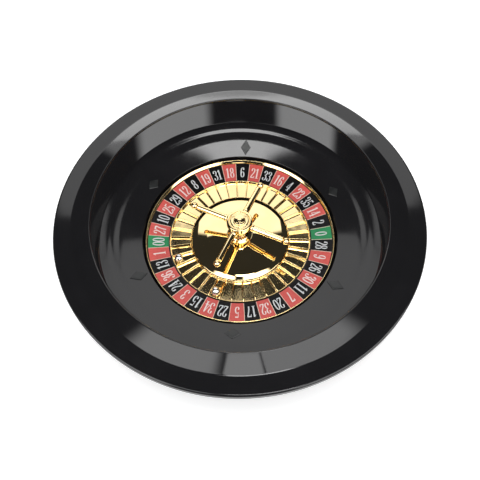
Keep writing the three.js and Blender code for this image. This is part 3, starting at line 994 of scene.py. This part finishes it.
def along_side(tree, value, soft):
    """Rises from 0 at one edge of a panel to 1 and falls to 0 at the other. The share soft is above 0."""
    distance = tree.nodes.new("ShaderNodeMath")
    distance.operation = "ABSOLUTE"
    tree.links.new(value, distance.inputs[0])
    fall = tree.nodes.new("ShaderNodeMapRange")
    fall.interpolation_type = "SMOOTHSTEP"
    fall.inputs["From Min"].default_value = 1 - soft
    fall.inputs["From Max"].default_value = 1
    fall.inputs["To Min"].default_value = 1
    fall.inputs["To Max"].default_value = 0
    tree.links.new(distance.outputs[0], fall.inputs["Value"])
    return fall.outputs["Result"]


def glow(name, strength, soft):
    """A lit cloth whose light fades over the outer share of its width and height."""
    material = bpy.data.materials.new(name)
    material.use_nodes = True
    tree = material.node_tree
    tree.nodes.clear()
    place = tree.nodes.new("ShaderNodeTexCoord")
    axes = tree.nodes.new("ShaderNodeSeparateXYZ")
    tree.links.new(place.outputs["Object"], axes.inputs["Vector"])
    shares = [along_side(tree, axes.outputs[axis], share) for axis, share in zip("XY", soft)]
    both = tree.nodes.new("ShaderNodeMath")
    both.operation = "MULTIPLY"
    full = tree.nodes.new("ShaderNodeMath")
    full.operation = "MULTIPLY"
    full.inputs[1].default_value = strength
    tree.links.new(shares[0], both.inputs[0])
    tree.links.new(shares[1], both.inputs[1])
    tree.links.new(both.outputs[0], full.inputs[0])
    emission = tree.nodes.new("ShaderNodeEmission")
    tree.links.new(full.outputs[0], emission.inputs["Strength"])
    output = tree.nodes.new("ShaderNodeOutputMaterial")
    tree.links.new(emission.outputs["Emission"], output.inputs["Surface"])
    return material


def panel(name, origin, right, up, strength, soft):
    """A softbox that is seen only in reflections, from its middle and its two half sides."""
    mesh = bpy.data.meshes.new(name)
    mesh.from_pydata([(-1, -1, 0), (1, -1, 0), (1, 1, 0), (-1, 1, 0)], [], [[0, 1, 2, 3]])
    mesh.materials.append(glow(name, strength, soft))
    made = bpy.data.objects.new(name, mesh)
    bpy.context.scene.collection.objects.link(made)
    columns = [right, up, right.cross(up).normalized(), origin]
    made.matrix_world = Matrix([[*(c[row] for c in columns)] for row in range(3)] + [[0, 0, 0, 1]])
    made.visible_camera = False
    made.visible_diffuse = False
    made.visible_shadow = False


def upright(name, azimuths, distance, low, high, strength, soft):
    """An upright softbox between two compass directions, its lower and upper edges in metres."""
    feet = [compass(degrees, distance).translation for degrees in azimuths]
    middle = (feet[0] + feet[1]) / 2 + Vector((0, 0, (low + high) / 2))
    panel(name, middle, (feet[1] - feet[0]) / 2, Vector((0, 0, (high - low) / 2)), strength, soft)


def level(name, x0, y0, x1, y1, z, strength, soft):
    """A level softbox over a rectangle, in metres."""
    middle = Vector(((x0 + x1) / 2, (y0 + y1) / 2, z))
    panel(name, middle, Vector(((x1 - x0) / 2, 0, 0)), Vector((0, (y1 - y0) / 2, 0)), strength, soft)


def make_floor():
    mesh = bpy.data.meshes.new("floor")
    corners = [(x * FLOOR_HALF, y * FLOOR_HALF, 0) for x, y in ((-1, -1), (1, -1), (1, 1), (-1, 1))]
    mesh.from_pydata(corners, [], [[0, 1, 2, 3]])
    material, _, shader = nodes_of("pale_floor")
    shader.inputs["Base Color"].default_value = (0.8, 0.8, 0.8, 1)
    shader.inputs["Roughness"].default_value = 0.9
    shader.inputs["Emission Color"].default_value = (1, 1, 1, 1)
    shader.inputs["Emission Strength"].default_value = 0.7
    mesh.materials.append(material)
    ground = bpy.data.objects.new("floor", mesh)
    bpy.context.scene.collection.objects.link(ground)


def make_lights():
    world = bpy.data.worlds.new("studio")
    bpy.context.scene.world = world
    world.use_nodes = True
    world.node_tree.nodes["Background"].inputs["Color"].default_value = (0.92, 0.95, 1, 1)
    world.node_tree.nodes["Background"].inputs["Strength"].default_value = 0.03

    # Softboxes make the highlights. A backdrop stands behind the wheel and two pairs stand in front.
    upright("backdrop_low", (-38, 38), 1.25, 0.0, 0.205, 1.9, (0.15, 0.01))
    upright("backdrop_middle", (-38, 38), 1.25, 0.205, 0.37, 3.7, (0.15, 0.01))
    upright("backdrop_high", (-38, 38), 1.25, 0.37, 1.57, 1.45, (0.12, 0.02))
    upright("backdrop_top", (-7, 7), 0.99, 1.57, 1.80, 1.5, (0.3, 0.05))
    level("overhead", -0.096, 0.31, 0.086, 0.441, 1.2, 9, (0.35, 0.12))
    level("top_front", -0.10, -0.32, 0.24, -0.14, 1.0, 11, (0.3, 0.2))
    upright("front_right_low", (100, 164), 0.62, 0.16, 0.62, 4.4, (0.35, 0.3))
    upright("front_left_low", (207, 258), 0.62, 0.16, 0.62, 4.8, (0.35, 0.3))
    upright("near_edge", (172, 188), 0.20, 0.088, 0.205, 4.0, (0.2, 0.2))
    upright("front_right_high", (104, 178), 0.62, 0.62, 1.8, 3.4, (0.4, 0.2))
    upright("front_left_high", (194, 252), 0.62, 0.62, 1.8, 3.6, (0.4, 0.2))

    # One large lamp gives the even light. It isn't seen in the gloss.
    lamp = bpy.data.lights.new("soft_top", "AREA")
    lamp.shape = "DISK"
    lamp.size = 1.6
    lamp.energy = 26
    holder = bpy.data.objects.new("soft_top", lamp)
    holder.location = (0, -0.2, 1.6)
    holder.visible_camera = False
    holder.visible_glossy = False
    bpy.context.scene.collection.objects.link(holder)


make_camera()
make_floor()
make_lights()
bpy.context.scene.view_settings.view_transform = "Standard"
make_bowl()
make_base()
make_pocket_ring()
make_cone()
make_rotor_disc()
make_trim()
make_number_ring()
make_turret()
make_arms()
make_balls()
dress_hidden_parts()
